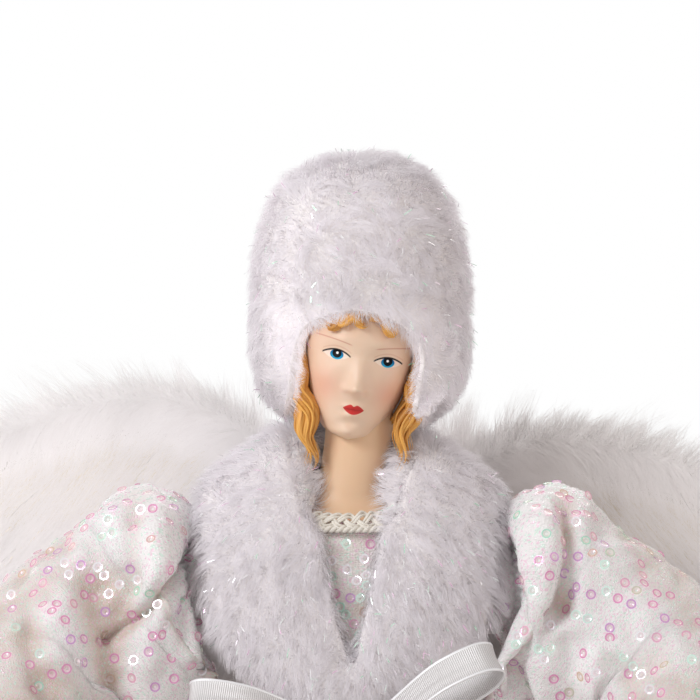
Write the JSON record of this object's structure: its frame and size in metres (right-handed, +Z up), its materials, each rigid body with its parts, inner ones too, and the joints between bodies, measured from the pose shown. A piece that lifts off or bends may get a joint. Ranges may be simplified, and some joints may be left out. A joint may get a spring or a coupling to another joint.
{
  "type": "angel tree topper",
  "caption": "Gowned angel doll in a white fur hat and stole with sequined puff sleeves, a ribbon bow and feather wings, on a hollow cone for a tree tip.",
  "frame": {"origin": "centre of the base, on the cone's axis at the plane it stands on", "axes": "+Z up, the figure faces -Y, +X to the figure's own left"},
  "size_m": [0.3119, 0.1852, 0.4],
  "materials": {
    "card": "uncoated off-white card",
    "form": "pressed paper form",
    "doll": "satin painted flesh tone with a painted face",
    "hair": "moulded hair painted golden",
    "fur": "white plush pile with tinsel threads",
    "gown": "ivory cloth with iridescent ring sequins",
    "braid_cord": "white twisted cord braid",
    "tulle": "stiff white net",
    "silver_ribbon": "sheer metallic silver ribbon",
    "wire": "bare steel wire",
    "felt": "ivory felt",
    "feather_vane": "white feather vanes",
    "down": "white down"
  },
  "bodies": {
    "figure": {"support_cone": "card", "torso_form": "form", "bust_head": "doll", "bodice": "gown", "neckline_braid": "braid_cord", "waistband": "silver_ribbon", "skirt_back": "gown", "skirt_front": "gown", "petticoat": "tulle", "wig_cap": "hair", "hair_lock_left": "hair", "hair_lock_right": "hair", "fur_hat": "fur", "fur_stole": "fur", "wing_yoke": "wire", "bow_knot": "silver_ribbon", "bow_loop_left": "silver_ribbon", "bow_loop_right": "silver_ribbon", "bow_tail_left": "silver_ribbon", "bow_tail_right": "silver_ribbon"},
    "left_arm": {"left_arm_core": "wire", "left_sleeve": "gown", "left_cuff": "silver_ribbon", "left_hand": "doll"},
    "left_wing": {"left_wing_wire": "wire", "left_wing_board": "felt", "left_primaries": "feather_vane", "left_coverts": "feather_vane", "left_marabou": "down"},
    "right_arm": {"right_arm_core": "wire", "right_sleeve": "gown", "right_cuff": "silver_ribbon", "right_hand": "doll"},
    "right_wing": {"right_wing_wire": "wire", "right_wing_board": "felt", "right_primaries": "feather_vane", "right_coverts": "feather_vane", "right_marabou": "down"}
  },
  "joints": [
    {"name": "left_shoulder", "type": "hinge", "parent": "figure", "child": "left_arm", "pos_m": [0.05, 0, 0.275], "axis": [-1, 0, 0], "range_deg": [-10, 40]},
    {"name": "right_shoulder", "type": "hinge", "parent": "figure", "child": "right_arm", "pos_m": [-0.05, 0, 0.275], "axis": [-1, 0, 0], "range_deg": [-10, 40]},
    {"name": "left_wing_fold", "type": "hinge", "parent": "figure", "child": "left_wing", "pos_m": [0.009, 0.03528, 0.261], "axis": [0, 0, 1], "range_deg": [0, 50]},
    {"name": "right_wing_fold", "type": "hinge", "parent": "figure", "child": "right_wing", "pos_m": [-0.009, 0.03528, 0.261], "axis": [0, 0, -1], "range_deg": [0, 50]}
  ]
}
